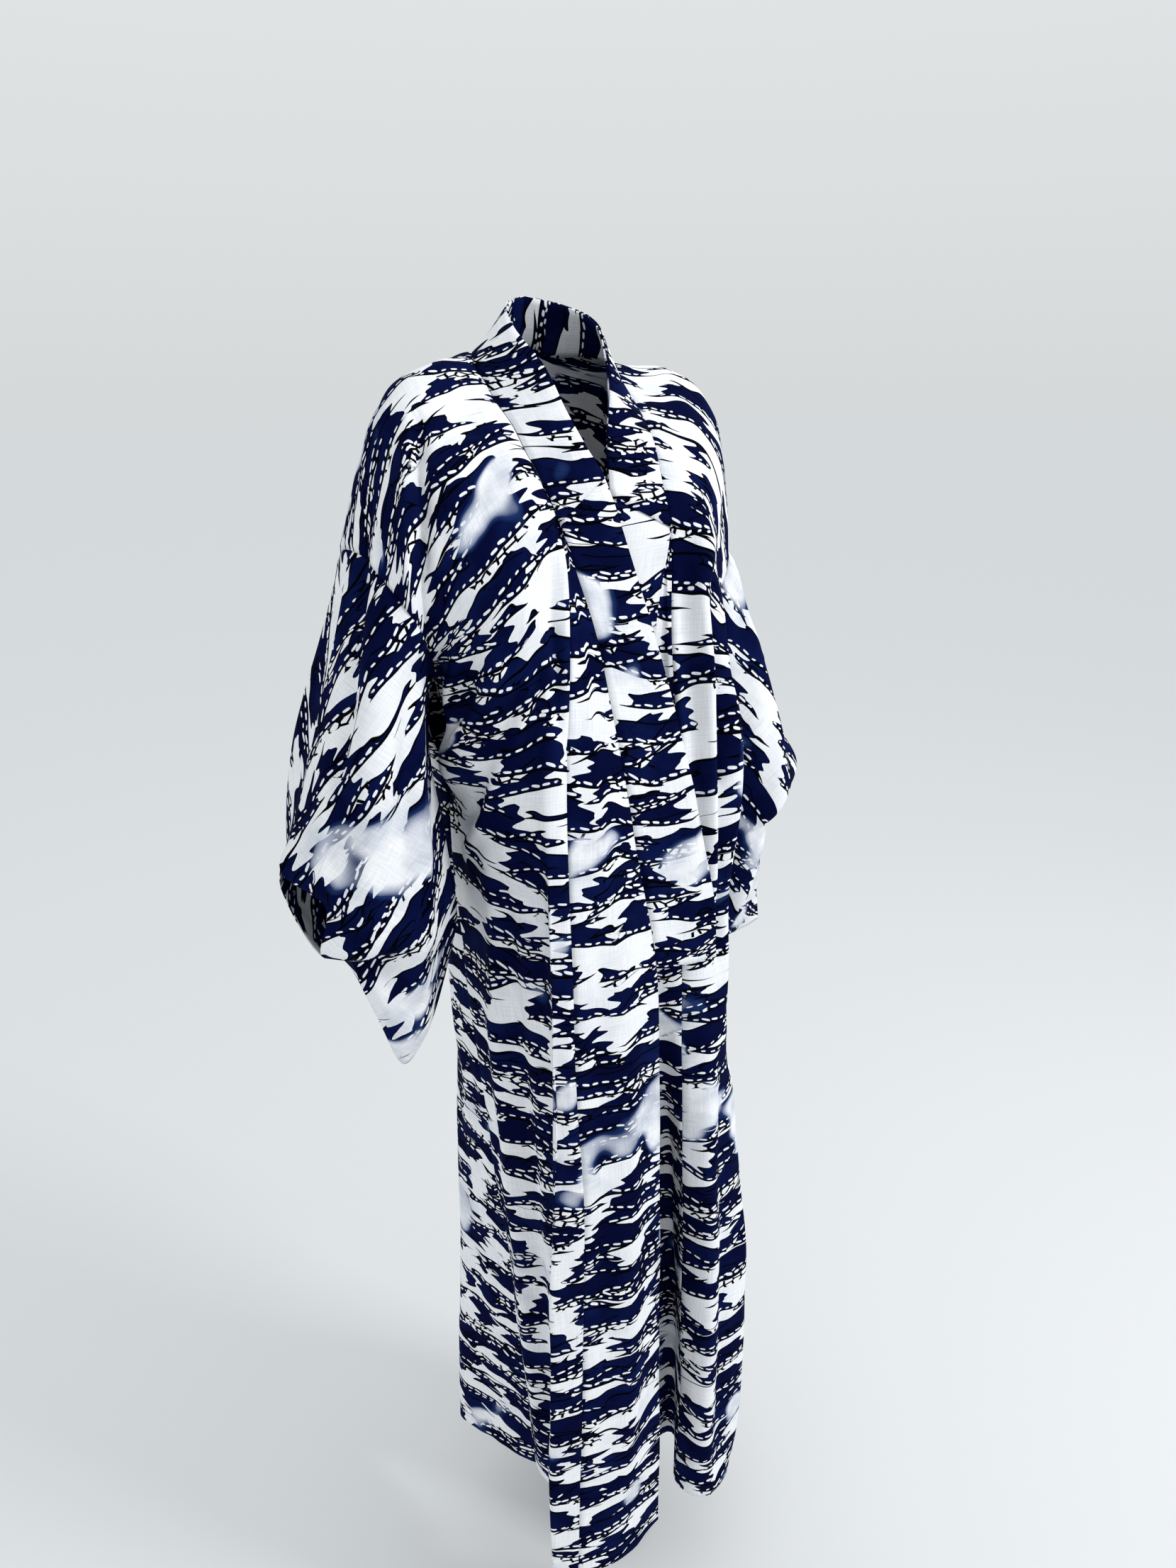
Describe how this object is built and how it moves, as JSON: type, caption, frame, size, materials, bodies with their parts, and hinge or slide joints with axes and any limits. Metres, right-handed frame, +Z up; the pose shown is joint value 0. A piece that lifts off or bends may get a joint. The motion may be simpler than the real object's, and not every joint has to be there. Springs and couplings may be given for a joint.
{
  "type": "kimono",
  "caption": "Unlined cotton kimono hanging open from the shoulders, with wide sleeves, a long collar and crossed fronts, no belt.",
  "frame": {"origin": "middle of the shoulder line at the base of the neck, where the wearer's shoulders carry the garment", "axes": "+Z up, -Y the way the wearer faces, +X the wearer's left"},
  "size_m": [0.6522, 0.3356, 1.4712],
  "materials": {
    "body_right": "plain-weave cotton, white ground with an indigo stencil-dyed pattern",
    "body_left": "plain-weave cotton, white ground with an indigo stencil-dyed pattern",
    "okumi_right": "plain-weave cotton, white ground with an indigo stencil-dyed pattern",
    "okumi_left": "plain-weave cotton, white ground with an indigo stencil-dyed pattern",
    "collar": "plain-weave cotton, white ground with an indigo stencil-dyed pattern",
    "over_collar": "plain-weave cotton, white ground with an indigo stencil-dyed pattern",
    "sleeve_right": "plain-weave cotton, white ground with an indigo stencil-dyed pattern",
    "sleeve_left": "plain-weave cotton, white ground with an indigo stencil-dyed pattern"
  },
  "bodies": {
    "root": {"body_right": "body_right", "body_left": "body_left", "okumi_right": "okumi_right", "okumi_left": "okumi_left", "collar": "collar", "over_collar": "over_collar", "sleeve_right": "sleeve_right", "sleeve_left": "sleeve_left"}
  },
  "joints": []
}
